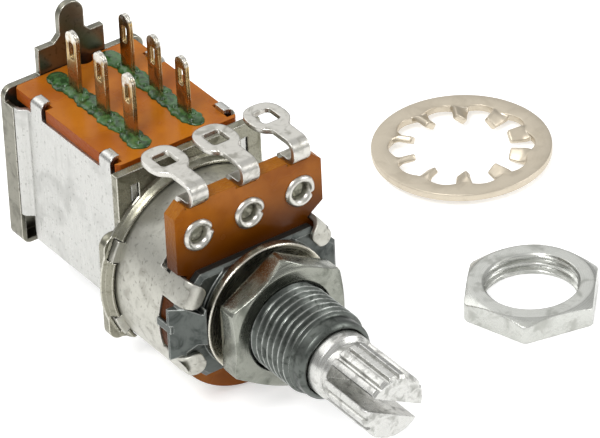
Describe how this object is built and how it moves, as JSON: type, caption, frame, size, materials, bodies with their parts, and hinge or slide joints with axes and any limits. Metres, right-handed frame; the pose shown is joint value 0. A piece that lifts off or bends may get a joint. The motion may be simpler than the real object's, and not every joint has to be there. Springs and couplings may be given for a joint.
{
  "type": "potentiometer",
  "caption": "Panel potentiometer with a threaded bushing, splined slotted shaft, round can, solder lugs and a push-pull switch in a sheet metal housing behind it",
  "frame": {"origin": "on the shaft's axis at the mounting face, where the panel or the washer seats", "axes": "-Y along the shaft towards the knob, +Z towards the solder lugs, +X to the right seen from the knob's side"},
  "size_m": [0.0511, 0.0464, 0.0248],
  "materials": {
    "zinc_casting": "as cast zinc alloy, dull blue grey",
    "turned_steel": "turned and nickel plated",
    "spring_steel": "rolled",
    "phenolic": "punched laminate, glossy faces",
    "tinned_brass": "hot tinned, mottled",
    "carbon_film": "screened film",
    "silver_film": "screened film",
    "tinplate": "tin plated sheet, mottled",
    "scuffed_tinplate": "tin plated sheet with fine scratches",
    "nickel_plate": "satin nickel plate",
    "terminal_plate": "plated brass, darkened",
    "resin": "cast, lumpy and glossy",
    "rotor_plastic": "moulded",
    "slider_plastic": "moulded",
    "contact_bronze": "rolled phosphor bronze"
  },
  "bodies": {
    "body": {"mounting_bushing": "zinc_casting", "terminal_board": "phenolic", "board_rivets": "tinned_brass", "solder_lug_left": "tinned_brass", "solder_lug_middle": "tinned_brass", "solder_lug_right": "tinned_brass", "resistive_track": "carbon_film", "collector_ring": "silver_film", "can": "tinplate", "switch_front_plate": "tinplate", "switch_housing": "scuffed_tinplate", "back_cover": "tinplate", "switch_board": "phenolic", "sealant_left": "resin", "sealant_right": "resin", "switch_terminal_left_1": "terminal_plate", "switch_terminal_left_2": "terminal_plate", "switch_terminal_left_3": "terminal_plate", "switch_terminal_right_1": "terminal_plate", "switch_terminal_right_2": "terminal_plate", "switch_terminal_right_3": "terminal_plate"},
    "slider": {"switch_slider": "slider_plastic", "bridge_contact_left": "contact_bronze", "bridge_contact_right": "contact_bronze", "detent_spring": "contact_bronze"},
    "shaft": {"shaft": "turned_steel", "shaft_clip": "spring_steel"},
    "rotor": {"rotor": "rotor_plastic", "wiper": "contact_bronze"},
    "flat_washer": {"flat_washer": "nickel_plate"},
    "hex_nut": {"hex_nut": "nickel_plate"},
    "lock_washer": {"lock_washer": "nickel_plate"},
    "spare_nut": {"spare_nut": "nickel_plate"}
  },
  "joints": [
    {"name": "pull", "type": "slide", "parent": "body", "child": "slider", "axis": [0, -1, 0], "range_m": [0, 0.003]},
    {"name": "turn", "type": "hinge", "parent": "slider", "child": "shaft", "pos_m": [0, 0, 0], "axis": [0, 1, 0], "range_deg": [-150, 150]},
    {"name": "rotor_turn", "type": "hinge", "parent": "body", "child": "rotor", "pos_m": [0, 0, 0], "axis": [0, 1, 0], "range_deg": [-150, 150]},
    {"name": "washer_turn", "type": "hinge", "parent": "body", "child": "flat_washer", "pos_m": [0, 0, 0], "axis": [0, 1, 0], "range_deg": [-3000, 470]},
    {"name": "nut_advance", "type": "slide", "parent": "flat_washer", "child": "hex_nut", "axis": [0, 1, 0], "range_m": [-0.0062, 0.00097]},
    {"name": "lock_washer_lift", "type": "slide", "parent": "body", "child": "lock_washer", "axis": [0, 0, 1], "range_m": [0, 0.02]},
    {"name": "spare_nut_lift", "type": "slide", "parent": "body", "child": "spare_nut", "axis": [0, 0, 1], "range_m": [0, 0.02]}
  ],
  "couplings": [
    {"joint": "rotor_turn", "follows": "turn", "ratio": 1},
    {"joint": "washer_turn", "follows": "nut_advance", "rad_per_m": 8377.6}
  ]
}
